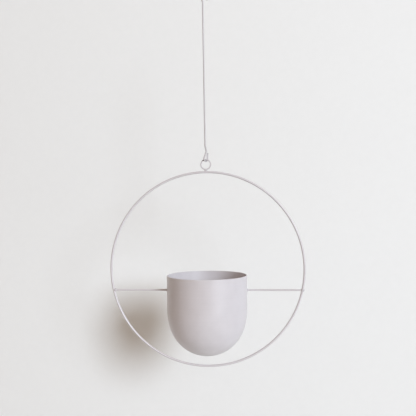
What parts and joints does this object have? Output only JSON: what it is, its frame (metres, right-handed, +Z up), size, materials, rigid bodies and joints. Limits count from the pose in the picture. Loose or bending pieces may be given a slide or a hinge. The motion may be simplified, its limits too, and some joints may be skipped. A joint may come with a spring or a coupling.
{
  "type": "hanging planter",
  "caption": "Round spun-steel pot welded between two arms inside a wire hoop, hung by an eyelet from a long bent-wire hanger.",
  "frame": {"origin": "seat inside the upper hook of the hanger, where the planter hangs", "axes": "+Z up along the plumb line, +X from the pot towards the right arm in the hoop's plane, +Y towards the back"},
  "size_m": [0.3034, 0.124, 0.5822],
  "materials": {
    "hanger_paint": "matt powder coat, light taupe",
    "frame_paint": "matt powder coat, light taupe",
    "pot_paint": "matt powder coat, light taupe"
  },
  "bodies": {
    "hanger": {"hanger": "hanger_paint"},
    "planter": {"eyelet": "frame_paint", "eyelet_weld": "frame_paint", "hoop": "frame_paint", "left_arm": "frame_paint", "right_arm": "frame_paint", "arm_welds": "frame_paint", "pot": "pot_paint"}
  },
  "joints": [
    {"name": "eyelet_swing", "type": "hinge", "parent": "hanger", "child": "planter", "pos_m": [0, 0, -0.2587], "axis": [1, 0, 0], "range_deg": [-90, 90]}
  ]
}
